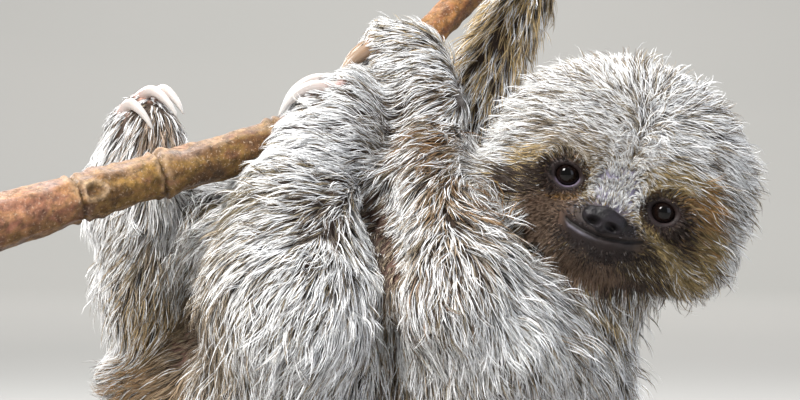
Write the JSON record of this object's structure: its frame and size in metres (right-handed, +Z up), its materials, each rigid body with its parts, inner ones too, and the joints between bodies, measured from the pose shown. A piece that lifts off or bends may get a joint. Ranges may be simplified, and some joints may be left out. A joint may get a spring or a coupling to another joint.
{
  "type": "three-toed sloth on a branch",
  "caption": "Young three-toed sloth hanging belly-up from a cut branch by hooked claws, face turned to the viewer, held on a plain flat display stand.",
  "frame": {"origin": "centre of the stand base's underside", "axes": "+Z up; +X along the trunk from the tail towards the head; -Y towards the sloth's left side, the side it is seen from"},
  "size_m": [0.3011, 0.1712, 0.297],
  "materials": {
    "coat": "shaggy pale fur over a brown undercoat",
    "face": "short fur with a dark brown mask",
    "claw": "ivory horn, satin",
    "eye": "wet, dark brown",
    "nose": "moist bare skin",
    "bark": "smooth brown bark, satin",
    "base": "dark stained, satin varnish",
    "rod": "brushed"
  },
  "bodies": {
    "root": {"stand_base": "base", "stand_rod_perch": "rod", "stand_rod_body": "rod", "perch": "bark", "eye_left": "eye", "eye_right": "eye", "nose": "nose", "head": "face", "claw_hand_left_1": "claw", "claw_hand_left_2": "claw", "claw_hand_left_3": "claw", "claw_foot_left_1": "claw", "claw_foot_left_2": "claw", "claw_foot_left_3": "claw", "claw_foot_right_1": "claw", "claw_foot_right_2": "claw", "claw_foot_right_3": "claw", "claw_hand_right_1": "claw", "claw_hand_right_2": "claw", "claw_hand_right_3": "claw", "neck": "coat", "trunk": "coat", "tail": "coat", "upper_arm_left": "coat", "upper_arm_right": "coat", "forearm_left": "coat", "forearm_right": "coat", "hand_left": "coat", "hand_right": "coat", "thigh_left": "coat", "thigh_right": "coat", "shank_left": "coat", "shank_right": "coat", "foot_left": "coat", "foot_right": "coat"}
  },
  "joints": []
}
